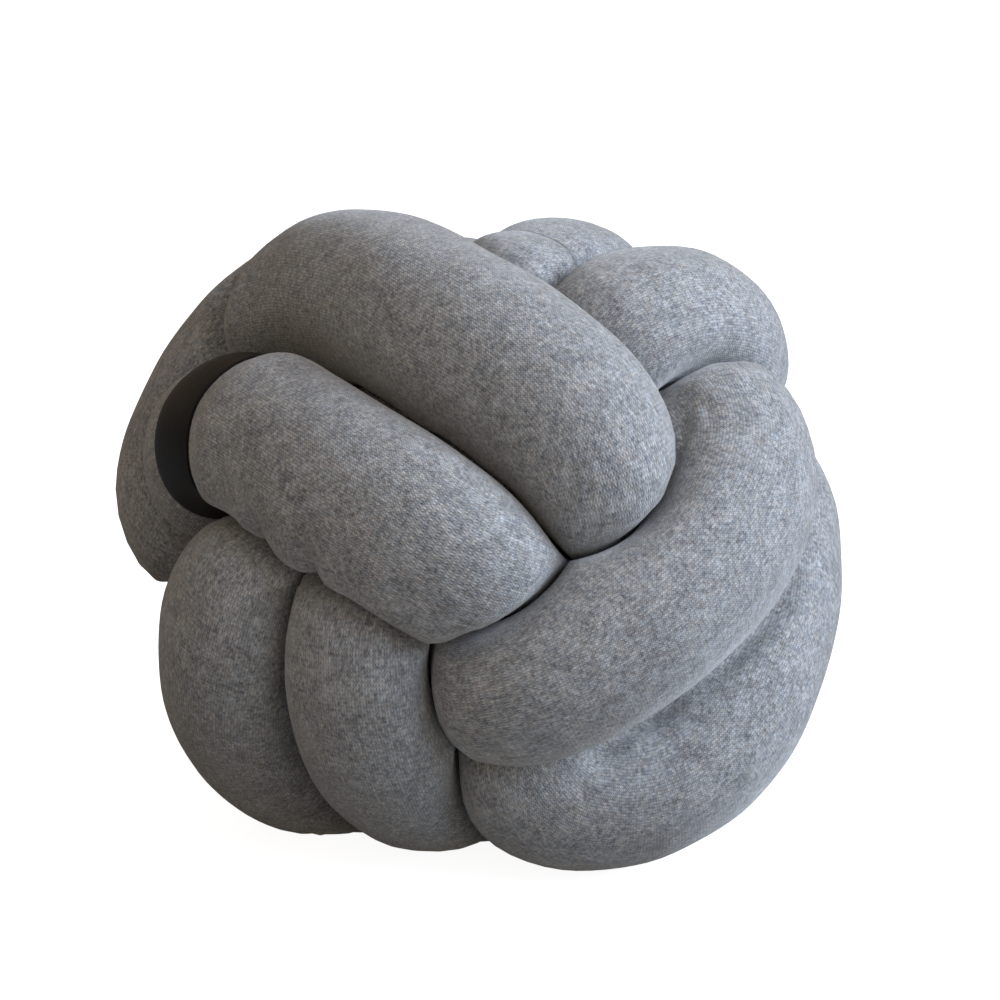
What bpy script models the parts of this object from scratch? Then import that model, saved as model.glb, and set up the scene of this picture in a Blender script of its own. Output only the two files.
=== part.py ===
"""Knot cushion: one long stuffed tube of knitted wool, plaited into a ball, with a ribbon band on it.

Metres, +Z up. The floor is z = 0 and the origin is under the middle of the ball. The front is -Y.

The tube runs twice round a plait of eight passes. A pass lies on the outside of the ball, over a
crossing, and dives under its neighbours at both ends. The two laps lie side by side as a pair, and
they change places inside the ball, so the tube is one closed loop. Where passes meet they press
each other flat, halfway between their middle lines.
"""

import math

import bpy
import numpy as np

# The ball
BALL_CENTRE = 0.124  # height of the middle above the floor
BALL_CROWN = 0.885  # height of the ball as a share of its width
TUBE_RADIUS = 0.040  # the stuffed tube where nothing presses on it
CREASE = 0.002  # space kept between passes that press on each other
SQUEEZED_CREASE = 1.0  # extra crease at a side pressed to half the radius, as a share of the crease
SQUEEZED_SHARE = 0.25  # and the most that this takes off, as a share of the side's own reach
PRESS_POWER = 7.0  # a higher power gives flatter pressed sides and tighter shoulders
REACH_AROUND = 0.17  # farther passes can't press on a point of the tube
OWN_STRETCH = 0.11  # a stretch of tube doesn't press on itself within this length
BEND_STRIDE = 3  # samples of the route on each side that a bend is measured over
BEND_SHARE = 0.9  # how near the inside of a bend comes to the bend's own centre

# The mesh of the tube
TUBE_SIDES = 18
TUBE_RINGS = 304
LINE_STEPS = 4000  # samples that the route is drawn with
PRESS_STEPS = 900  # samples of the route that press on each ring
EASING = 16  # rounds of smoothing along those samples, because a stuffed tube takes no tight bend

# How the hidden stretches make room for each other
SETTLE_ROUNDS = 20
SETTLE_SPACE = 0.040  # stretches nearer than this push each other apart
SETTLE_FREE = 0.080  # within this reach of the ball's middle a stretch moves freely
SETTLE_FIXED = 0.104  # and from this reach on it keeps to its route
SETTLE_LEAST = 0.05  # where it still has this share of its freedom
SETTLE_OUTERMOST = 0.088  # no stretch moves out past this reach, or past its own if that is more
SETTLE_STEP = 0.4
SETTLE_EASING = 60  # rounds of smoothing of each push along the tube

# The ribbon band
LABEL_WIDTH = 0.030
LABEL_RINGS = 11
LABEL_THICKNESS = 0.0010
LABEL_SINK = 0.0003  # the ribbon lies this much below the knit beside it
LABEL_GAP = 0.0005  # between the ribbon and the tube under it
LABEL_ROW = "P in"  # the row of the route that the ribbon is near
LABEL_SHIFT = 0.049  # and how far along the tube from there
LABEL_LIP = 0.0015  # the tube steps in over this length at each edge of the ribbon

# The route of the middle line of the pair, for one lap. The azimuth is counted from the front to
# the right and the elevation from the middle plane, in degrees. The reach from the ball's middle
# and the spread from the pair's middle line to each strand are in millimetres. The tilt, in
# degrees, lifts one strand of the pair off the ball and sinks the other.
ROUTE_COLUMNS = ("row", "azimuth", "elevation", "reach", "spread", "tilt")
ROUTE = [
    ("S in", -120, -17, 116, 31, 0),
    ("S mid", -136, 29, 121, 34, 0),
    ("S out", -168, 62, 100, 30, 0),
    ("under T", 118, 66, 62, 20, 0),
    ("R in", 95, 34, 98, 30, 0),
    ("R side", 76, 7, 106, 36, -3),
    ("R mid", 50, -17, 109, 42, 5),
    ("R low", 29, -30, 108, 42, 6),
    ("R out", -6, -30, 95, 32, -10),
    ("under Q", -40, -36, 62, 20, 0),
    ("X in", -90, -42, 94, 28, 0),
    ("X mid", -122, -38, 109, 34, 0),
    ("X out", -150, -20, 98, 30, 0),
    ("under W", 170, 0, 60, 20, 0),
    ("T in", 139, 33, 97, 29, 0),
    ("T mid", 111, 58, 113, 32, 10),
    ("T out", 70, 76, 89, 29, 0),
    ("under P", -20, 40, 58, 20, 0),
    ("Q in", -32, 4, 90, 30, 0),
    ("Q mid", -40, -19, 105, 33, -4),
    ("Q low", -53, -44, 107, 33, -14),
    ("Q out", -63, -64, 112, 32, -12),
    ("under Y", 111, -60, 60, 20, 0),
    ("W in", 128, -22, 97, 30, 0),
    ("W mid", 169, 0, 109, 34, 0),
    ("W out", -174, 14, 98, 30, 0),
    ("under S", -141, 33, 62, 20, 0),
    ("P in", -108, 30, 105, 32, 10),
    ("P top", -80, 48, 111, 37, 4),
    ("P mid", -31, 46, 107, 37, 0),
    ("P low", 1, 29, 108, 37, -3),
    ("P out", 13, 9, 98, 31, -6),
    ("under R", 50, -8, 58, 20, 0),
    ("Y in", 84, -40, 94, 30, 0),
    ("Y mid", 112, -58, 97, 34, 0),
    ("Y out", -175, -64, 95, 30, 0),
    ("under X", -123, -42, 62, 20, 0),
]
CHORD_POWER = 0.7  # how the spline's speed follows the distance between the route's rows
SWAP_ROW = "under W"  # the two laps change places here, inside the ball

KNIT_GREY = (0.165, 0.170, 0.180, 1.0)
RIBBON_BLACK = (0.012, 0.012, 0.013, 1.0)


def column(name):
    """One column of the route, as an array."""
    place = ROUTE_COLUMNS.index(name)
    return np.array([row[place] for row in ROUTE], dtype=float)


def row_number(name):
    return [row[0] for row in ROUTE].index(name)


def unit(vectors):
    return vectors / np.linalg.norm(vectors, axis=-1, keepdims=True)


def closed_spline(knots, period, values, places):
    """A smooth closed curve through the values at the knots, read at the places."""
    count = len(knots)
    steps = np.diff(np.append(knots, period))
    before = np.roll(steps, 1)
    slopes = (np.roll(values, -1, axis=0) - values) / steps[:, None]
    matrix = np.zeros((count, count))
    for i in range(count):
        matrix[i, i - 1] = steps[i]
        matrix[i, i] = 2 * (before[i] + steps[i])
        matrix[i, (i + 1) % count] = before[i]
    right = 3 * (steps[:, None] * np.roll(slopes, 1, axis=0) + before[:, None] * slopes)
    tangents = np.linalg.solve(matrix, right)

    places = places % period
    at = np.searchsorted(knots, places, side="right") - 1
    after = (at + 1) % count
    step = steps[at][:, None]
    u = (places - knots[at])[:, None] / step
    return (
        (1 + 2 * u) * (1 - u) ** 2 * values[at]
        + u * (1 - u) ** 2 * step * tangents[at]
        + u * u * (3 - 2 * u) * values[after]
        + u * u * (u - 1) * step * tangents[after]
    )


def from_middle(points):
    """The direction from the ball's middle, with the ball's squashed height made round again."""
    return unit(points * np.array([1.0, 1.0, 1.0 / BALL_CROWN]))


def ring_axes(line):
    """The direction of a closed line at each point, and two axes across it: sideways and outwards."""
    along = unit(np.roll(line, -1, axis=0) - np.roll(line, 1, axis=0))
    side = unit(np.cross(from_middle(line), along))
    return along, side, np.cross(along, side)


def route_points():
    """The route's rows as points from the ball's middle, with their knots and the spline's period."""
    azimuth = np.radians(column("azimuth"))
    elevation = np.radians(column("elevation"))
    points = np.stack(
        [
            np.sin(azimuth) * np.cos(elevation),
            -np.cos(azimuth) * np.cos(elevation),
            np.sin(elevation) * BALL_CROWN,
        ],
        axis=-1,
    )
    points = points * column("reach")[:, None] / 1000
    chords = np.linalg.norm(np.roll(points, -1, axis=0) - points, axis=1) ** CHORD_POWER
    knots = np.append(0.0, np.cumsum(chords)[:-1])
    return points, knots, chords.sum()


def strand_line():
    """The middle line of the whole tube, evenly spaced over two laps, and each point's lap position."""
    points, knots, period = route_points()
    places = np.linspace(0, 2 * period, 2 * LINE_STEPS, endpoint=False)
    rows = np.column_stack([points, column("spread") / 1000, np.radians(column("tilt"))])
    drawn = closed_spline(knots, period, rows, places)
    pair, spread, turned = drawn[:, :3], drawn[:, 3], drawn[:, 4]
    along, side, out = ring_axes(pair)

    swap = row_number(SWAP_ROW)
    start, end = knots[swap - 1], knots[swap + 1]
    for lap in range(2):
        share = np.clip((places - lap * period - start) / (end - start), 0, 1)
        turned = turned + math.pi * share * share * (3 - 2 * share)
    across = side * np.cos(turned)[:, None] + out * np.sin(turned)[:, None]
    strand = pair + across * spread[:, None]
    at = np.linspace(0, line_length(strand)[1], PRESS_STEPS, endpoint=False)
    line = settled(eased(read_line(strand, strand, at), EASING))
    return line, np.interp(at, line_length(strand)[0], places)


def eased(line, rounds):
    for _ in range(rounds):
        line = (np.roll(line, 1, axis=0) + 2 * line + np.roll(line, -1, axis=0)) / 4
    return line


def settled(line):
    """The line with its inner stretches pushed apart, where they would crush each other."""
    at, total = line_length(line)
    stretch = np.abs(at[:, None] - at)
    far = np.minimum(stretch, total - stretch) > OWN_STRETCH
    outermost = np.maximum(np.linalg.norm(line, axis=1, keepdims=True), SETTLE_OUTERMOST)
    for _ in range(SETTLE_ROUNDS):
        reach = np.linalg.norm(line, axis=1, keepdims=True)
        freedom = np.clip((SETTLE_FIXED - reach) / (SETTLE_FIXED - SETTLE_FREE), SETTLE_LEAST, 1)
        apart = line[:, None] - line
        distance = np.linalg.norm(apart, axis=2) + 1e-9
        overlap = np.where(far, np.clip(SETTLE_SPACE - distance, 0, None), 0)
        push = (apart * (overlap / distance)[..., None]).sum(axis=1)
        size = np.linalg.norm(push, axis=1, keepdims=True) + 1e-9
        strongest = overlap.max(axis=1)[:, None]
        step = push / size * strongest * SETTLE_STEP * freedom
        line = line + eased(step, SETTLE_EASING)
        reach = np.linalg.norm(line, axis=1, keepdims=True)
        line = line * np.minimum(1, outermost / reach)
    return line


def line_length(line):
    """The distance along a closed line at each of its points, and its whole length."""
    steps = np.linalg.norm(np.roll(line, -1, axis=0) - line, axis=1)
    total = steps.sum()
    return np.append(0.0, np.cumsum(steps)[:-1]), total


def read_line(line, values, at):
    """Values given at the points of a closed line, read at distances along it."""
    distance, total = line_length(line)
    return np.column_stack(
        [np.interp(at, np.append(distance, total), np.append(v, v[0])) for v in values.T]
    )


def label_place(line, places):
    """The distance along the tube to the middle of the ribbon, on the front pair's lower strand."""
    knots = route_points()[1]
    return np.interp(knots[row_number(LABEL_ROW)], places, line_length(line)[0]) + LABEL_SHIFT


def ring_distances(total, label):
    """Distances of the tube's rings: even, but placed by the ribbon's edges under the ribbon."""
    half = LABEL_WIDTH / 2
    under = list(np.linspace(label - half, label + half, LABEL_RINGS))
    lips = [label - half - LABEL_GAP, label + half + LABEL_GAP]
    shoulders = [label - half - LABEL_LIP, label + half + LABEL_LIP]
    even = np.linspace(0, total, TUBE_RINGS, endpoint=False)
    clear = half + total / TUBE_RINGS / 2
    kept = [d for d in even if abs(d - label) > clear]
    return np.array(sorted(kept + under + lips + shoulders))


def bends(line):
    """The bend vector at evenly spaced points: towards the bend's centre, one over its radius long."""
    step = line_length(line)[1] / len(line) * BEND_STRIDE
    ahead, behind = np.roll(line, -BEND_STRIDE, axis=0), np.roll(line, BEND_STRIDE, axis=0)
    return (ahead - 2 * line + behind) / step**2


def pressed_rings(line, at):
    """Rings of surface points of the tube at distances along it, pressed by what lies beside them."""
    line_at, total = line_length(line)
    middle = read_line(line, line, at)
    bend = read_line(line, bends(line), at)
    along, side, out = np.split(read_line(line, np.column_stack(ring_axes(line)), at), 3, axis=1)
    side, out = unit(side), unit(out)

    angle = np.arange(TUBE_SIDES) * 2 * math.pi / TUBE_SIDES
    rings = []
    for i, distance in enumerate(at):
        rays = np.cos(angle)[:, None] * side[i] + np.sin(angle)[:, None] * out[i]
        apart = line - middle[i]
        reach = (apart * apart).sum(axis=1)
        stretch = np.abs(line_at - distance)
        stretch = np.minimum(stretch, total - stretch)
        near = (reach < REACH_AROUND**2) & (stretch > OWN_STRETCH)
        towards = CREASE / 2 + rays @ apart[near].T
        halfway = (reach[near] - CREASE**2 / 4) / (2 * np.maximum(towards, 1e-6))
        limit = halfway.min(axis=1)
        squeeze = SQUEEZED_CREASE * CREASE * np.maximum(TUBE_RADIUS / limit - 1, 0)
        limit -= np.minimum(squeeze, limit * SQUEEZED_SHARE)
        inside = BEND_SHARE / np.maximum(rays @ bend[i], 1e-3)
        power = -PRESS_POWER
        radius = (TUBE_RADIUS**power + limit**power + inside**power) ** (1 / power)
        rings.append(middle[i] + rays * radius[:, None])
    return middle, np.array(rings)


def flattened(middle, rings):
    """Rings with every point below the floor drawn back along its ray to the floor."""
    low = rings[..., 2] < -BALL_CENTRE
    down = middle[:, None, 2] - rings[..., 2]
    share = (middle[:, None, 2] + BALL_CENTRE) / np.where(low, down, 1.0)
    drawn = middle[:, None] + (rings - middle[:, None]) * share[..., None]
    result = np.where(low[..., None], drawn, rings)
    result[..., 2] = np.where(low, -BALL_CENTRE, result[..., 2])
    return result


def drawn_in(middle, rings, depth):
    """Rings moved towards the tube's middle line by a depth."""
    rays = rings - middle[:, None]
    length = np.linalg.norm(rays, axis=-1, keepdims=True)
    return rings - rays / length * np.reshape(depth, (-1, 1, 1))


def loft(name, rings, colour, roughness, collection):
    """One object whose skin runs round closed rings and from each ring to the next, and closes."""
    count, sides = rings.shape[:2]
    points = rings.reshape(-1, 3)
    faces = []
    for i in range(count):
        j = (i + 1) % count
        for k in range(sides):
            m = (k + 1) % sides
            a, b, c, d = i * sides + k, i * sides + m, j * sides + m, j * sides + k
            # Each four-sided field is split along its shorter diagonal.
            if np.linalg.norm(points[a] - points[c]) < np.linalg.norm(points[b] - points[d]):
                faces += [(a, b, c), (a, c, d)]
            else:
                faces += [(a, b, d), (b, c, d)]
    mesh = bpy.data.meshes.new(name)
    mesh.from_pydata(points.tolist(), [], faces)
    mesh.update()
    mesh.shade_smooth()
    part = bpy.data.objects.new(name, mesh)
    collection.objects.link(part)

    material = bpy.data.materials.new(name)
    material.use_nodes = True
    shader = material.node_tree.nodes["Principled BSDF"]
    shader.inputs["Base Color"].default_value = colour
    shader.inputs["Roughness"].default_value = roughness
    shader.inputs["Metallic"].default_value = 0.0
    part.data.materials.append(material)
    return part


def main():
    for old in list(bpy.data.objects):
        bpy.data.objects.remove(old, do_unlink=True)
    collection = bpy.data.collections.new("knot_cushion")
    bpy.context.scene.collection.children.link(collection)

    line, places = strand_line()
    total = line_length(line)[1]
    label = label_place(line, places)
    at = ring_distances(total, label)
    middle, rings = pressed_rings(line, at)
    rings = flattened(middle, rings)

    # The knit is pressed in under the ribbon, whose own rings are the ones between the lips.
    half = LABEL_WIDTH / 2
    under = np.abs(at - label) < half + LABEL_GAP * 1.5
    banded = np.abs(at - label) < half + LABEL_GAP / 2
    recess = LABEL_SINK + LABEL_THICKNESS + LABEL_GAP
    tube = drawn_in(middle, rings, np.where(under, recess, 0.0))
    outer = drawn_in(middle[banded], rings[banded], np.full(banded.sum(), LABEL_SINK))
    inner = drawn_in(middle[banded], rings[banded], np.full(banded.sum(), LABEL_SINK + LABEL_THICKNESS))
    band = np.concatenate([outer, inner[::-1]])

    # The origin goes under the middle of the ball's box.
    flat = tube.reshape(-1, 3)
    centre = (flat.min(axis=0) + flat.max(axis=0)) / 2
    shift = np.array([-centre[0], -centre[1], BALL_CENTRE])
    loft("tube", tube + shift, KNIT_GREY, 0.95, collection)
    loft("label_band", band + shift, RIBBON_BLACK, 0.35, collection)


main()
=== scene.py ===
"""The looks of the knot cushion: melange wool knit on a plaited stuffed tube, with a satin ribbon band.

Metres, +Z up. The floor is z = 0, the origin is under the middle of the ball and the front is -Y.
"""

import math

import bpy
import numpy as np
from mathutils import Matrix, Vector, noise


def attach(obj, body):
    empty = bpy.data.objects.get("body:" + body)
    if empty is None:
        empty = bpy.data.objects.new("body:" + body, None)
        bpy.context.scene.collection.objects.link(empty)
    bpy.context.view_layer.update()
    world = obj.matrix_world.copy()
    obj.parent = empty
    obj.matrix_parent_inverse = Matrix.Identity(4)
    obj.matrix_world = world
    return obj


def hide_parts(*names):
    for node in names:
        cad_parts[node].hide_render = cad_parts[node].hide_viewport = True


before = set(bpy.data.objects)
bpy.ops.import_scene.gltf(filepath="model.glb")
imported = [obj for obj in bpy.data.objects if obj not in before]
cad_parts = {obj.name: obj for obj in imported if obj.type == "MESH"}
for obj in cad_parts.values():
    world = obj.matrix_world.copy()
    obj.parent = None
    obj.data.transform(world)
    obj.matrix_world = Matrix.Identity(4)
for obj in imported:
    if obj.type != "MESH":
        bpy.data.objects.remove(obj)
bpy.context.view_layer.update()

# The ball
BALL_CENTRE = 0.124  # the height of the ball's middle over the floor
BALL_CROWN = 0.885  # the ball's height as a share of its width
TUBE_RADIUS = 0.040  # where nothing presses the tube
CREASE = 0.0010  # the gap between two stretches that press each other
SQUEEZED_CREASE = 0.6  # how fast the gap widens where they are squeezed thinner
SQUEEZED_SHARE = 0.25  # the most that the wider gap takes from a stretch
PRESS_POWER = 6.0  # how abruptly a round side turns into a pressed one
REACH_AROUND = 0.17  # how near the middle of a stretch is, to press another one
OWN_STRETCH = 0.11  # the length of tube on each side that doesn't press its own middle
BEND_STRIDE = 3  # the points on each side from which a bend is measured
BEND_SHARE = 0.9  # the share of a bend's radius that its inner side may take
PRESSED_SHARE = 0.9  # the room round the tube, as a share of its radius, up to which it is pressed
FREE_SPAN = 0.5  # how much more room than that it has where it is free

# The mesh of the tube
TUBE_SIDES = 76
TUBE_RINGS = 1280
TUBE_STRIPS = 4  # strips of its map for baking
LINE_STEPS = 4000  # points of the route for one lap
PRESS_STEPS = 900  # points of the middle line that press each other
EASING = 16  # rounds of smoothing for the middle line

# How the hidden stretches make room for each other
SETTLE_ROUNDS = 20
SETTLE_SPACE = 0.040  # the space that two middle lines try to keep
SETTLE_FREE = 0.080  # nearer the ball's middle than this, a point moves freely
SETTLE_FIXED = 0.104  # further out than this, it moves least
SETTLE_LEAST = 0.05  # the share of the push that is left there
SETTLE_OUTERMOST = 0.088  # no point is pushed out beyond this, unless it began further out
SETTLE_STEP = 0.4  # the share of the strongest overlap that one round takes away
SETTLE_EASING = 60  # rounds of smoothing for each step

# The ribbon band
LABEL_WIDTH = 0.030
LABEL_THICKNESS = 0.0008
LABEL_SINK = 0.0002  # the ribbon's face below the skin of the tube
LABEL_GAP = 0.0003  # the space between the ribbon and the knit under it
LABEL_ROW = "P in"  # the ribbon is near this row of the route
LABEL_SHIFT = 0.049  # how far it is along the tube from there
LABEL_LIP = 0.0022  # the knit's slope beside the ribbon, from its surface to its bed
RIBBON_RINGS = 31
RIBBON_STRIPS = 1  # strips of its map for baking
FIBRE_STRETCH = (0.3, 3.0, 1.0)  # fibres for each rib's width and each millimetre of the ribbon
RIBBON_LINES = 2.0  # lines of the satin in a millimetre
RIBBON_DARK = (0.0025, 0.0028, 0.0035)
RIBBON_PALE = (0.006, 0.0065, 0.0085)
RIBBON_GLOSS = (0.36, 0.5)  # the least and the most roughness
SQUEEZE_DEPTH = 0.0020  # how far the ribbon draws the tube in
SQUEEZE_REACH = 0.013  # the knit's slope back to its own girth, on each side of the ribbon
SQUEEZE_BULGE = 0.0018  # how far the filling swells beside the ribbon

# The route of the middle line of the pair, for one lap: degrees and millimetres
ROUTE_COLUMNS = ("row", "azimuth", "elevation", "reach", "spread", "tilt")
ROUTE = [
    ("S in", -120, -17, 116, 31, 0),
    ("S mid", -136, 29, 121, 34, 0),
    ("S out", -168, 62, 100, 30, 0),
    ("under T", 118, 66, 62, 20, 0),
    ("R in", 95, 34, 98, 30, 0),
    ("R side", 76, 7, 106, 36, -3),
    ("R mid", 50, -17, 109, 42, 5),
    ("R low", 29, -30, 108, 42, 6),
    ("R out", -6, -30, 95, 32, -10),
    ("under Q", -40, -36, 62, 20, 0),
    ("X in", -90, -42, 94, 28, 0),
    ("X mid", -122, -38, 109, 34, 0),
    ("X out", -150, -20, 98, 30, 0),
    ("under W", 170, 0, 60, 20, 0),
    ("T in", 139, 33, 97, 29, 0),
    ("T mid", 111, 58, 113, 32, 10),
    ("T out", 70, 76, 89, 29, 0),
    ("under P", -20, 40, 58, 20, 0),
    ("Q in", -32, 4, 90, 30, 0),
    ("Q mid", -40, -19, 105, 33, -4),
    ("Q low", -53, -44, 107, 33, -14),
    ("Q out", -63, -64, 112, 32, -12),
    ("under Y", 111, -60, 60, 20, 0),
    ("W in", 128, -22, 97, 30, 0),
    ("W mid", 169, 0, 109, 34, 0),
    ("W out", -174, 14, 98, 30, 0),
    ("under S", -141, 33, 62, 20, 0),
    ("P in", -108, 30, 105, 32, 10),
    ("P top", -80, 48, 111, 37, 4),
    ("P mid", -31, 46, 107, 37, 0),
    ("P low", 1, 29, 108, 37, -3),
    ("P out", 13, 9, 98, 31, -6),
    ("under R", 50, -8, 58, 20, 0),
    ("Y in", 84, -40, 94, 30, 0),
    ("Y mid", 112, -58, 97, 34, 0),
    ("Y out", -175, -64, 95, 30, 0),
    ("under X", -123, -42, 62, 20, 0),
]
CHORD_POWER = 0.7  # how the spline's knots follow the distance between the rows
SWAP_ROW = "under W"  # where the pair's two strands change sides

# Folds and creases of the knit: metres along the tube and the share of the way round it, then each
# one's size in metres and its slant in degrees. A depth below 0 is a ridge.
FOLD_COLUMNS = ("along", "round", "length", "width", "depth", "slant")
FOLDS = [
    (2.4965, 0.474, 0.024, 0.0038, 0.0034, 8),
    (2.4800, 0.440, 0.014, 0.0034, 0.0016, -18),
    (1.7960, 0.395, 0.011, 0.0050, 0.0022, 75),
    (1.7800, 0.335, 0.010, 0.0045, 0.0013, 80),
    (1.7270, 0.410, 0.013, 0.0048, 0.0036, 80),
    (1.7520, 0.410, 0.013, 0.0052, 0.0038, 80),
    (2.2440, 0.425, 0.019, 0.0038, 0.0080, -57),
    (3.8420, 0.375, 0.018, 0.0070, -0.0026, -54),
    (0.3900, 0.473, 0.030, 0.0055, 0.0036, 22),
    (0.4480, 0.521, 0.018, 0.0055, 0.0036, 0),
    (0.4760, 0.478, 0.016, 0.0055, 0.0026, -33),
]
FOLD_SWELL = 0.45  # the swelling beside a fold, as a share of its depth
FOLD_ENDS = 4  # how abruptly a fold ends

# The knit
WALES = 168  # ribs of the knit round the tube
COURSE = 0.00092  # the height of a row of stitches along the tube's middle line
STITCH_SLANT = 0.8  # how far the legs of a stitch lean, in rows
BAKE_EDGE = 0.01  # the space between strips of the map for baking, as a share of a strip
FLECK_SIZE = 0.0013
DRIFT_SIZE = 0.0075  # the size of the paler and darker patches
HUE_SIZE = 0.0034  # the size of the warmer and cooler patches
LUMP_SIZE = 0.030
LUMP_DEPTH = 0.0011
RIB_EDGE = 0.3  # the height of a rib's edges, as a share of its crown
ROW_RELIEF = 0.34  # how far the height changes along a rib
OWN_TONE = 0.30  # how far the tones of single stitches, of flecks and of wider patches differ
FLECK_TONE = 0.82
DRIFT_TONE = 0.62
# The wool's greys by their tone, and the tints that cool or warm them
GREYS = (
    (0.14, (0.185, 0.189, 0.200)),
    (0.50, (0.402, 0.407, 0.417)),
    (0.85, (0.680, 0.685, 0.695)),
)
TINTS = (
    (0.30, (0.95, 0.995, 1.05)),
    (0.50, (1.0, 1.0, 1.0)),
    (0.70, (1.05, 1.0, 0.95)),
)
STITCH_PAINTED_SHADE = (0.60, 1.15)  # painted shade between stitches and painted highlight on their crowns: the wool's colour is scaled from the first to the second

# The camera
CAMERA_TILT = 15.0
CAMERA_DISTANCE = 1.5
FOCAL_SHARE = 3.6  # focal length as a share of the picture's width
MIDDLE_RIGHT = -0.015  # the ball's middle in the picture, from the picture's middle
MIDDLE_UP = -0.035
SENSOR = 36.0

# The lights: degrees from the front to the right and up, metres from the ball's middle, watts
LIGHT_COLUMNS = ("name", "azimuth", "elevation", "distance", "size", "power", "colour")
LIGHTS = [
    ("window", 89, 29, 2.4, 1.5, 66.0, (0.74, 0.85, 1.0)),
    ("front_fill", 42, 30, 2.4, 1.4, 11.0, (0.50, 0.70, 1.0)),
    ("low_fill", 20, 8, 2.4, 1.4, 7.0, (1.0, 0.94, 0.80)),
    ("top_fill", -35, 66, 2.4, 1.4, 4.5, (1.0, 0.97, 0.93)),
]
WORLD_LIGHT = (0.240, 0.189, 0.142)
BACKDROP = (1.0, 1.0, 1.0)

# The floor: its half width in metres, its grey and glow as the camera sees it, and its bounce
FLOOR_HALF = 6.0
FLOOR_GREY = 0.60
FLOOR_GLOW = 0.93
FLOOR_BOUNCE = 0.26


def column(name):
    """One column of the route, as an array."""
    place = ROUTE_COLUMNS.index(name)
    return np.array([row[place] for row in ROUTE], dtype=float)


def row_number(name):
    """The place of a row in the route."""
    return [row[0] for row in ROUTE].index(name)


def unit(vectors):
    """Vectors made one long."""
    return vectors / np.linalg.norm(vectors, axis=-1, keepdims=True)


def closed_spline(knots, period, values, places):
    """A smooth closed curve through the values at the knots, read at the places."""
    count = len(knots)
    steps = np.diff(np.append(knots, period))
    before = np.roll(steps, 1)
    slopes = (np.roll(values, -1, axis=0) - values) / steps[:, None]
    matrix = np.zeros((count, count))
    for i in range(count):
        matrix[i, i - 1] = steps[i]
        matrix[i, i] = 2 * (before[i] + steps[i])
        matrix[i, (i + 1) % count] = before[i]
    right = 3 * (steps[:, None] * np.roll(slopes, 1, axis=0) + before[:, None] * slopes)
    tangents = np.linalg.solve(matrix, right)

    places = places % period
    at = np.searchsorted(knots, places, side="right") - 1
    after = (at + 1) % count
    step = steps[at][:, None]
    u = (places - knots[at])[:, None] / step
    return (
        (1 + 2 * u) * (1 - u) ** 2 * values[at]
        + u * (1 - u) ** 2 * step * tangents[at]
        + u * u * (3 - 2 * u) * values[after]
        + u * u * (u - 1) * step * tangents[after]
    )


def from_middle(points):
    """The direction from the ball's middle, with the ball's squashed height made round again."""
    return unit(points * np.array([1.0, 1.0, 1.0 / BALL_CROWN]))


def ring_axes(line):
    """The direction of a closed line at each point, and two axes across it: sideways and outwards."""
    along = unit(np.roll(line, -1, axis=0) - np.roll(line, 1, axis=0))
    side = unit(np.cross(from_middle(line), along))
    return along, side, np.cross(along, side)


def route_points():
    """The route's rows as points from the ball's middle, with their knots and the spline's period."""
    azimuth = np.radians(column("azimuth"))
    elevation = np.radians(column("elevation"))
    points = np.stack(
        [
            np.sin(azimuth) * np.cos(elevation),
            -np.cos(azimuth) * np.cos(elevation),
            np.sin(elevation) * BALL_CROWN,
        ],
        axis=-1,
    )
    points = points * column("reach")[:, None] / 1000
    chords = np.linalg.norm(np.roll(points, -1, axis=0) - points, axis=1) ** CHORD_POWER
    knots = np.append(0.0, np.cumsum(chords)[:-1])
    return points, knots, chords.sum()


def strand_line():
    """The middle line of the whole tube, evenly spaced over two laps, and each point's lap position."""
    points, knots, period = route_points()
    places = np.linspace(0, 2 * period, 2 * LINE_STEPS, endpoint=False)
    rows = np.column_stack([points, column("spread") / 1000, np.radians(column("tilt"))])
    drawn = closed_spline(knots, period, rows, places)
    pair, spread, turned = drawn[:, :3], drawn[:, 3], drawn[:, 4]
    _, side, out = ring_axes(pair)

    swap = row_number(SWAP_ROW)
    start, end = knots[swap - 1], knots[swap + 1]
    for lap in range(2):
        share = np.clip((places - lap * period - start) / (end - start), 0, 1)
        turned = turned + math.pi * share * share * (3 - 2 * share)
    across = side * np.cos(turned)[:, None] + out * np.sin(turned)[:, None]
    strand = pair + across * spread[:, None]
    at = np.linspace(0, line_length(strand)[1], PRESS_STEPS, endpoint=False)
    line = settled(eased(read_line(strand, strand, at), EASING))
    return line, np.interp(at, line_length(strand)[0], places)


def eased(line, rounds):
    """The closed line, or the steps of its points, smoothed."""
    for _ in range(rounds):
        line = (np.roll(line, 1, axis=0) + 2 * line + np.roll(line, -1, axis=0)) / 4
    return line


def settled(line):
    """The line with its inner stretches pushed apart, where they would crush each other."""
    at, total = line_length(line)
    stretch = np.abs(at[:, None] - at)
    far = np.minimum(stretch, total - stretch) > OWN_STRETCH
    outermost = np.maximum(np.linalg.norm(line, axis=1, keepdims=True), SETTLE_OUTERMOST)
    for _ in range(SETTLE_ROUNDS):
        reach = np.linalg.norm(line, axis=1, keepdims=True)
        freedom = np.clip((SETTLE_FIXED - reach) / (SETTLE_FIXED - SETTLE_FREE), SETTLE_LEAST, 1)
        apart = line[:, None] - line
        distance = np.linalg.norm(apart, axis=2) + 1e-9
        overlap = np.where(far, np.clip(SETTLE_SPACE - distance, 0, None), 0)
        push = (apart * (overlap / distance)[..., None]).sum(axis=1)
        size = np.linalg.norm(push, axis=1, keepdims=True) + 1e-9
        strongest = overlap.max(axis=1)[:, None]
        step = push / size * strongest * SETTLE_STEP * freedom
        line = line + eased(step, SETTLE_EASING)
        reach = np.linalg.norm(line, axis=1, keepdims=True)
        line = line * np.minimum(1, outermost / reach)
    return line


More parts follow.
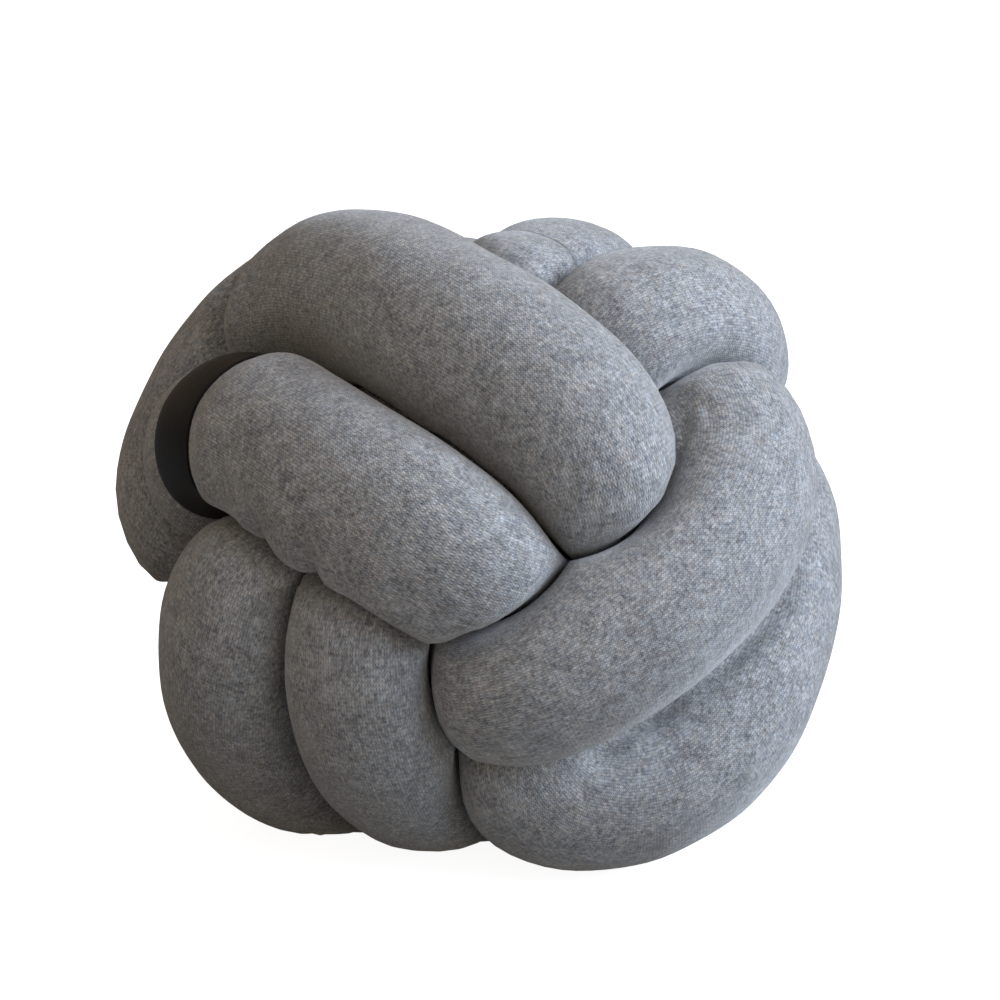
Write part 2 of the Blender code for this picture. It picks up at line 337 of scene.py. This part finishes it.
def line_length(line):
    """The distance along a closed line at each of its points, and its whole length."""
    steps = np.linalg.norm(np.roll(line, -1, axis=0) - line, axis=1)
    total = steps.sum()
    return np.append(0.0, np.cumsum(steps)[:-1]), total


def read_line(line, values, at):
    """Values given at the points of a closed line, read at distances along it."""
    distance, total = line_length(line)
    return np.column_stack(
        [np.interp(at, np.append(distance, total), np.append(v, v[0])) for v in values.T]
    )


def label_place(line, places):
    """The distance along the tube to the middle of the ribbon, on the front pair's lower strand."""
    knots = route_points()[1]
    return np.interp(knots[row_number(LABEL_ROW)], places, line_length(line)[0]) + LABEL_SHIFT


def bends(line):
    """The bend vector at evenly spaced points: towards the bend's centre, one over its radius long."""
    step = line_length(line)[1] / len(line) * BEND_STRIDE
    ahead, behind = np.roll(line, -BEND_STRIDE, axis=0), np.roll(line, BEND_STRIDE, axis=0)
    return (ahead - 2 * line + behind) / step**2


def pressed_rings(line, at):
    """Rings of surface points of the tube, and how far each point could reach if it weren't pressed."""
    line_at, total = line_length(line)
    middle = read_line(line, line, at)
    bend = read_line(line, bends(line), at)
    _, side, out = np.split(read_line(line, np.column_stack(ring_axes(line)), at), 3, axis=1)
    side, out = unit(side), unit(out)

    angle = np.arange(TUBE_SIDES) * 2 * math.pi / TUBE_SIDES
    rings = []
    limits = []
    for i, distance in enumerate(at):
        rays = np.cos(angle)[:, None] * side[i] + np.sin(angle)[:, None] * out[i]
        apart = line - middle[i]
        reach = (apart * apart).sum(axis=1)
        stretch = np.abs(line_at - distance)
        stretch = np.minimum(stretch, total - stretch)
        near = (reach < REACH_AROUND**2) & (stretch > OWN_STRETCH)
        towards = CREASE / 2 + rays @ apart[near].T
        halfway = (reach[near] - CREASE**2 / 4) / (2 * np.maximum(towards, 1e-6))
        limit = halfway.min(axis=1)
        squeeze = SQUEEZED_CREASE * CREASE * np.maximum(TUBE_RADIUS / limit - 1, 0)
        limit -= np.minimum(squeeze, limit * SQUEEZED_SHARE)
        inside = BEND_SHARE / np.maximum(rays @ bend[i], 1e-3)
        power = -PRESS_POWER
        radius = (TUBE_RADIUS**power + limit**power + inside**power) ** (1 / power)
        rings.append(middle[i] + rays * radius[:, None])
        limits.append(limit)
    return middle, np.array(rings), np.array(limits)


def flattened(middle, rings):
    """Rings with every point below the floor drawn back along its ray to the floor."""
    low = rings[..., 2] < -BALL_CENTRE
    down = middle[:, None, 2] - rings[..., 2]
    share = (middle[:, None, 2] + BALL_CENTRE) / np.where(low, down, 1.0)
    drawn = middle[:, None] + (rings - middle[:, None]) * share[..., None]
    result = np.where(low[..., None], drawn, rings)
    result[..., 2] = np.where(low, -BALL_CENTRE, result[..., 2])
    return result


def drawn_in(middle, rings, depth):
    """Rings moved towards the tube's middle line by a depth, given for each ring or each point."""
    rays = rings - middle[:, None]
    length = np.linalg.norm(rays, axis=-1, keepdims=True)
    depth = np.asarray(depth)
    depth = depth[:, None, None] if depth.ndim == 1 else depth[..., None]
    return rings - rays / length * depth


def freedom_of(limits):
    """From 0 where the tube is pressed to 1 where nothing is near it."""
    return np.clip((limits / TUBE_RADIUS - PRESSED_SHARE) / FREE_SPAN, 0, 1)


def lumps(rings, free):
    """How far the filling bulges or sinks at each point, less where the tube is pressed."""
    depth = np.zeros(rings.shape[:2])
    for i, ring in enumerate(rings):
        for k, point in enumerate(ring):
            if free[i, k] > 0:
                depth[i, k] = noise.noise(Vector(point / LUMP_SIZE))
    return -depth * free * LUMP_DEPTH


def folds(at):
    """How far the folds draw in each point of rings at distances along the tube."""
    rounds = np.arange(TUBE_SIDES) / TUBE_SIDES
    depth = np.zeros((len(at), TUBE_SIDES))
    for row in FOLDS:
        fold = dict(zip(FOLD_COLUMNS, row))
        along = (at - fold["along"])[:, None]
        around = (rounds - fold["round"] + 0.5) % 1 - 0.5
        around = (around * 2 * math.pi * TUBE_RADIUS)[None, :]
        lean = math.radians(fold["slant"])
        lengthwise = along * math.cos(lean) + around * math.sin(lean)
        across = (around * math.cos(lean) - along * math.sin(lean)) / fold["width"]
        window = np.exp(-((lengthwise / fold["length"]) ** FOLD_ENDS))
        groove = np.exp(-(across**2))
        swell = across**2 * np.exp(-(across**2) / 2) * FOLD_SWELL
        depth += fold["depth"] * window * (groove - swell)
    return depth


def squeezed(at, label, free):
    """How far the ribbon draws each point of the rings in, with a swelling on each side of it."""
    beside = np.clip((np.abs(at - label) - LABEL_WIDTH / 2) / SQUEEZE_REACH, 0, 2)
    slope = np.where(beside < 1, (1 + np.cos(math.pi * beside)) / 2, 0)
    swelling = np.sin(math.pi * np.clip(beside / 2, 0, 1)) ** 2 * SQUEEZE_BULGE
    return (slope * SQUEEZE_DEPTH)[:, None] - swelling[:, None] * free


def skin(name, rings, around, along, bake_strips, material):
    """A closed mesh over rings, with the knit's map and a map of strips for baking."""
    count, sides = rings.shape[:2]
    i, k = np.meshgrid(np.arange(count), np.arange(sides), indexing="ij")
    j, m = (i + 1) % count, (k + 1) % sides
    corners = np.stack([i * sides + k, i * sides + m, j * sides + m, j * sides + k], axis=-1)
    mesh = bpy.data.meshes.new(name)
    mesh.from_pydata(rings.reshape(-1, 3).tolist(), [], corners.reshape(-1, 4).tolist())
    mesh.update()
    mesh.shade_smooth()

    last = np.append(along, 2 * along[-1] - along[-2])
    v = np.stack([last[:-1], last[:-1], last[1:], last[1:]], axis=-1)
    v = np.broadcast_to(v[:, None], (count, sides, 4))
    # A face's first two corners are on its own ring and the other two are on the next ring.
    after = np.roll(around, -1, axis=0)
    u = np.stack([around[:, :-1], around[:, 1:], after[:, 1:], after[:, :-1]], axis=-1)
    put_map(mesh, "knit", u, v)

    strip = np.arange(count) * bake_strips // count
    share = np.arange(count) * bake_strips / count - strip
    step = bake_strips / count
    turn = np.arange(sides) / sides
    across = np.stack([turn, turn + 1 / sides, turn + 1 / sides, turn], axis=-1)
    bake_v = (strip[:, None, None] + BAKE_EDGE + across * (1 - 2 * BAKE_EDGE)) / bake_strips
    bake_u = np.stack([share, share, share + step, share + step], axis=-1)
    bake_u = np.broadcast_to(bake_u[:, None], (count, sides, 4))
    put_map(mesh, "OFBake", bake_u, bake_v)

    piece = bpy.data.objects.new(name, mesh)
    bpy.context.scene.collection.objects.link(piece)
    mesh.materials.append(material)
    return piece


def put_map(mesh, name, u, v):
    """A map of the mesh from the places of its faces' corners."""
    layer = mesh.uv_layers.new(name=name)
    layer.uv.foreach_set("vector", np.stack([u, v], axis=-1).astype(np.float32).ravel())


def rounds_of(rings):
    """The share of the way round each ring at each of its corners, measured on the skin."""
    steps = np.linalg.norm(np.roll(rings, -1, axis=1) - rings, axis=-1)
    passed = np.concatenate([np.zeros((len(rings), 1)), np.cumsum(steps, axis=1)], axis=1)
    crown = TUBE_SIDES // 4
    return (passed - passed[:, crown : crown + 1]) / passed[:, -1:]


def node(tree, kind, settings=(), **inputs):
    """A shader node with its settings made, and its inputs set to values or linked to sockets."""
    made = tree.nodes.new(kind)
    for name, value in dict(settings).items():
        setattr(made, name, value)
    for name, value in inputs.items():
        key = int(name[1:]) if name[0] == "i" and name[1:].isdigit() else name.replace("_", " ")
        socket = made.inputs[key]
        if isinstance(value, bpy.types.NodeSocket):
            tree.links.new(value, socket)
        else:
            socket.default_value = value
    return made


def maths(tree, operation, *values):
    """The result of a sum on values or sockets."""
    inputs = {f"i{n}": value for n, value in enumerate(values)}
    return node(tree, "ShaderNodeMath", {"operation": operation}, **inputs).outputs[0]


def multiplied(tree, first, second):
    """Two colours multiplied."""
    settings = {"data_type": "RGBA", "blend_type": "MULTIPLY"}
    return node(tree, "ShaderNodeMix", settings, i0=1.0, i6=first, i7=second).outputs[2]


def ramp(tree, value, *stops):
    """A colour read from stops, each a place and its colour, at a value."""
    made = node(tree, "ShaderNodeValToRGB", Fac=value)
    elements = made.color_ramp.elements
    for place, colour in stops[2:]:
        elements.new(place)
    for element, (place, colour) in zip(elements, sorted(stops)):
        element.position = place
        element.color = (*colour, 1.0)
    return made.outputs[0]


def space_noise(tree, place, scale, detail, roughness):
    """Soft noise through space, about 0.5 on average."""
    made = node(
        tree,
        "ShaderNodeTexNoise",
        {"noise_dimensions": "3D"},
        Vector=place,
        Scale=scale,
        Detail=detail,
        Roughness=roughness,
    )
    return made.outputs[0]


def new_material(name):
    """A material with an empty node tree."""
    material = bpy.data.materials.new(name)
    material.use_nodes = True
    material.node_tree.nodes.clear()
    return material, material.node_tree


def finish_material(tree, shader):
    """The shader linked to the material's output."""
    node(tree, "ShaderNodeOutputMaterial", Surface=shader.outputs[0])


def knit_material():
    """Melange wool in fine plain knit. The map counts ribs round the tube and rows along it."""
    material, tree = new_material("wool_knit")
    place = node(tree, "ShaderNodeUVMap", {"uv_map": "knit"}).outputs[0]
    apart = node(tree, "ShaderNodeSeparateXYZ", Vector=place)
    rib, row = apart.outputs[0], apart.outputs[1]

    across = maths(tree, "SUBTRACT", maths(tree, "FRACT", rib), 0.5)
    side = maths(tree, "ABSOLUTE", across)
    leaned = maths(tree, "MULTIPLY_ADD", side, 2 * STITCH_SLANT, row)
    from_crown = maths(tree, "POWER", maths(tree, "MULTIPLY", side, 2.0), 2.0)
    hump = maths(tree, "SUBTRACT", 1.0, from_crown)
    turn = maths(tree, "COSINE", maths(tree, "MULTIPLY", leaned, 2 * math.pi))
    raised = maths(tree, "MULTIPLY_ADD", hump, 1 - RIB_EDGE, RIB_EDGE)
    looped = maths(tree, "MULTIPLY_ADD", turn, ROW_RELIEF, 1 - ROW_RELIEF)
    stitch = maths(tree, "MULTIPLY", raised, looped)

    # Each stitch has its own tone, and the yarn's tone wanders in space, whatever the knit's stretch.
    cell = node(
        tree,
        "ShaderNodeCombineXYZ",
        X=maths(tree, "FLOOR", rib),
        Y=maths(tree, "FLOOR", leaned),
    ).outputs[0]
    own = node(tree, "ShaderNodeTexWhiteNoise", {"noise_dimensions": "2D"}, Vector=cell)
    space = node(tree, "ShaderNodeTexCoord").outputs["Object"]
    fleck = space_noise(tree, space, 1 / FLECK_SIZE, 1.0, 0.5)
    drift = space_noise(tree, space, 1 / DRIFT_SIZE, 3.0, 0.65)
    tone = maths(tree, "MULTIPLY_ADD", own.outputs[0], OWN_TONE, -OWN_TONE / 2)
    tone = maths(tree, "MULTIPLY_ADD", fleck, FLECK_TONE, tone)
    tone = maths(tree, "MULTIPLY_ADD", drift, DRIFT_TONE, tone)
    # The tone's average is brought to a half, the middle of the greys.
    tone = maths(tree, "SUBTRACT", tone, (FLECK_TONE + DRIFT_TONE - 1) / 2)
    grey = ramp(tree, tone, *GREYS)
    tint = ramp(tree, space_noise(tree, space, 1 / HUE_SIZE, 2.0, 0.6), *TINTS)
    coloured = multiplied(tree, grey, tint)
    # Painted shade and highlight: the colour is darkened in the hollows between stitches and lightened
    # on their crowns, by the height of the stitch relief.
    painted_stitch_shade = node(
        tree,
        "ShaderNodeMapRange",
        Value=stitch,
        From_Min=0.0,
        From_Max=1.0,
        To_Min=STITCH_PAINTED_SHADE[0],
        To_Max=STITCH_PAINTED_SHADE[1],
    ).outputs[0]
    scaling = {"operation": "SCALE"}
    painted_shade_colour = node(tree, "ShaderNodeVectorMath", scaling, i0=coloured, Scale=painted_stitch_shade).outputs[0]

    bump = node(tree, "ShaderNodeBump", Height=stitch, Strength=0.45, Distance=0.0004)
    shader = node(
        tree,
        "ShaderNodeBsdfPrincipled",
        Base_Color=painted_shade_colour,
        Roughness=0.95,
        Specular_IOR_Level=0.15,
        Sheen_Weight=0.6,
        Sheen_Roughness=0.42,
        Normal=bump.outputs[0],
    )
    finish_material(tree, shader)
    return material


def ribbon_material():
    """Black satin: fine lines along the ribbon and a soft gloss across them."""
    material, tree = new_material("satin_ribbon")
    place = node(tree, "ShaderNodeUVMap", {"uv_map": "knit"}).outputs[0]
    apart = node(tree, "ShaderNodeSeparateXYZ", Vector=place)
    turns = maths(tree, "MULTIPLY", apart.outputs[1], 2 * math.pi * RIBBON_LINES)
    wave = maths(tree, "SINE", turns)
    scaling = {"operation": "MULTIPLY"}
    fibre_place = node(tree, "ShaderNodeVectorMath", scaling, i0=place, i1=FIBRE_STRETCH)
    fibre = node(
        tree,
        "ShaderNodeTexNoise",
        {"noise_dimensions": "2D"},
        Vector=fibre_place.outputs[0],
        Scale=1.0,
        Detail=2.0,
    ).outputs[0]
    height = maths(tree, "ADD", maths(tree, "MULTIPLY", wave, 0.3), fibre)
    colour = ramp(tree, fibre, (0.3, RIBBON_DARK), (0.7, RIBBON_PALE))
    least, most = RIBBON_GLOSS
    gloss = node(tree, "ShaderNodeMapRange", Value=fibre, To_Min=least, To_Max=most).outputs[0]
    bump = node(tree, "ShaderNodeBump", Height=height, Strength=0.25, Distance=0.0001)
    shader = node(
        tree,
        "ShaderNodeBsdfPrincipled",
        Base_Color=colour,
        Roughness=gloss,
        Specular_IOR_Level=0.2,
        Normal=bump.outputs[0],
    )
    finish_material(tree, shader)
    return material


def plain_grey(share):
    """An even grey, as a shader's colour."""
    return (share, share, share, 1.0)


def floor_material():
    """A pale matte floor, whose own light on the cushion is held back."""
    material, tree = new_material("pale_floor")
    matte = node(tree, "ShaderNodeBsdfDiffuse", Color=plain_grey(FLOOR_GREY))
    glow = node(tree, "ShaderNodeEmission", Color=plain_grey(1.0), Strength=FLOOR_GLOW)
    seen = node(tree, "ShaderNodeAddShader", i0=matte.outputs[0], i1=glow.outputs[0])
    lit = node(tree, "ShaderNodeBsdfDiffuse", Color=plain_grey(FLOOR_BOUNCE))
    ray = node(tree, "ShaderNodeLightPath")
    shader = node(
        tree,
        "ShaderNodeMixShader",
        Fac=ray.outputs["Is Camera Ray"],
        i1=lit.outputs[0],
        i2=seen.outputs[0],
    )
    finish_material(tree, shader)
    return material


def add_floor():
    """A wide floor at z = 0, which is stage and not part of the cushion."""
    mesh = bpy.data.meshes.new("floor")
    signs = ((-1, -1), (1, -1), (1, 1), (-1, 1))
    corners = [(x * FLOOR_HALF, y * FLOOR_HALF, 0) for x, y in signs]
    mesh.from_pydata(corners, [], [(0, 1, 2, 3)])
    mesh.materials.append(floor_material())
    floor = bpy.data.objects.new("floor", mesh)
    bpy.context.scene.collection.objects.link(floor)


def add_world():
    """A white backdrop for the camera and a soft warm light for all else."""
    world = bpy.data.worlds.new("studio")
    world.use_nodes = True
    tree = world.node_tree
    tree.nodes.clear()
    seen = node(tree, "ShaderNodeBackground", Color=(*BACKDROP, 1.0), Strength=1.0)
    lit = node(tree, "ShaderNodeBackground", Color=(*WORLD_LIGHT, 1.0), Strength=1.0)
    ray = node(tree, "ShaderNodeLightPath")
    mix = node(
        tree,
        "ShaderNodeMixShader",
        Fac=ray.outputs["Is Camera Ray"],
        i1=lit.outputs[0],
        i2=seen.outputs[0],
    )
    node(tree, "ShaderNodeOutputWorld", Surface=mix.outputs[0])
    bpy.context.scene.world = world


def direction(azimuth, elevation):
    """The unit vector from the ball to a place, in degrees from the front to the right and up."""
    azimuth, elevation = math.radians(azimuth), math.radians(elevation)
    return Vector(
        (
            math.sin(azimuth) * math.cos(elevation),
            -math.cos(azimuth) * math.cos(elevation),
            math.sin(elevation),
        )
    )


def add_lights(middle):
    """Round soft lights, each turned towards the ball's middle."""
    for row in LIGHTS:
        lamp = dict(zip(LIGHT_COLUMNS, row))
        data = bpy.data.lights.new(lamp["name"], "AREA")
        data.shape = "DISK"
        data.size = lamp["size"]
        data.energy = lamp["power"]
        data.color = lamp["colour"]
        light = bpy.data.objects.new(lamp["name"], data)
        towards = direction(lamp["azimuth"], lamp["elevation"])
        light.location = middle + towards * lamp["distance"]
        light.rotation_euler = towards.to_track_quat("Z", "Y").to_euler()
        bpy.context.scene.collection.objects.link(light)


def add_camera(middle):
    """A camera in front of the ball, looking a little down."""
    data = bpy.data.cameras.new("camera")
    data.sensor_width = SENSOR
    data.lens = SENSOR * FOCAL_SHARE
    data.shift_x = -MIDDLE_RIGHT
    data.shift_y = -MIDDLE_UP
    camera = bpy.data.objects.new("camera", data)
    camera.location = middle + direction(0, CAMERA_TILT) * CAMERA_DISTANCE
    camera.rotation_euler = (math.radians(90 - CAMERA_TILT), 0, 0)
    bpy.context.scene.collection.objects.link(camera)
    bpy.context.scene.camera = camera


# The tube
line, places = strand_line()
total = line_length(line)[1]
label = label_place(line, places)
at = np.arange(TUBE_RINGS) * total / TUBE_RINGS
middle, rings, limits = pressed_rings(line, at)
free = freedom_of(limits)
rings = drawn_in(middle, rings, lumps(rings, free) + squeezed(at, label, free) + folds(at))
rings = flattened(middle, rings)

# The knit is pressed in under the ribbon.
half = LABEL_WIDTH / 2
under = np.clip((half + LABEL_LIP - np.abs(at - label)) / LABEL_LIP, 0, 1)
recess = LABEL_SINK + LABEL_THICKNESS + LABEL_GAP
tube_rings = drawn_in(middle, rings, under * recess)

flat = tube_rings.reshape(-1, 3)
centre = (flat.min(axis=0) + flat.max(axis=0)) / 2
shift = np.array([-centre[0], -centre[1], BALL_CENTRE])

wool = knit_material()
around = rounds_of(tube_rings) * WALES
tube = skin("knit_tube", tube_rings + shift, around, at / COURSE, TUBE_STRIPS, wool)

# The ribbon, two layers of rings closed at its edges
ribbon_at = np.linspace(label - half, label + half, RIBBON_RINGS)
ribbon_middle, ribbon_rings, ribbon_limits = pressed_rings(line, ribbon_at)
ribbon_free = freedom_of(ribbon_limits)
ribbon_depth = lumps(ribbon_rings, ribbon_free) + squeezed(ribbon_at, label, ribbon_free)
ribbon_rings = drawn_in(ribbon_middle, ribbon_rings, ribbon_depth)
outer = drawn_in(ribbon_middle, ribbon_rings, np.full(RIBBON_RINGS, LABEL_SINK))
inner = drawn_in(ribbon_middle, ribbon_rings, np.full(RIBBON_RINGS, LABEL_SINK + LABEL_THICKNESS))
band_rings = np.concatenate([outer, inner[::-1]])
band_around = rounds_of(band_rings) * WALES
band_along = np.concatenate([ribbon_at, ribbon_at[::-1]]) * 1000  # in millimetres
satin = ribbon_material()
ribbon = skin("ribbon_band", band_rings + shift, band_around, band_along, RIBBON_STRIPS, satin)

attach(tube, "root")
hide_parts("tube")

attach(ribbon, "root")
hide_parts("label_band")

add_floor()
add_world()
ball = Vector(shift.tolist())
add_lights(ball)
add_camera(ball)
bpy.context.scene.view_settings.view_transform = "Standard"
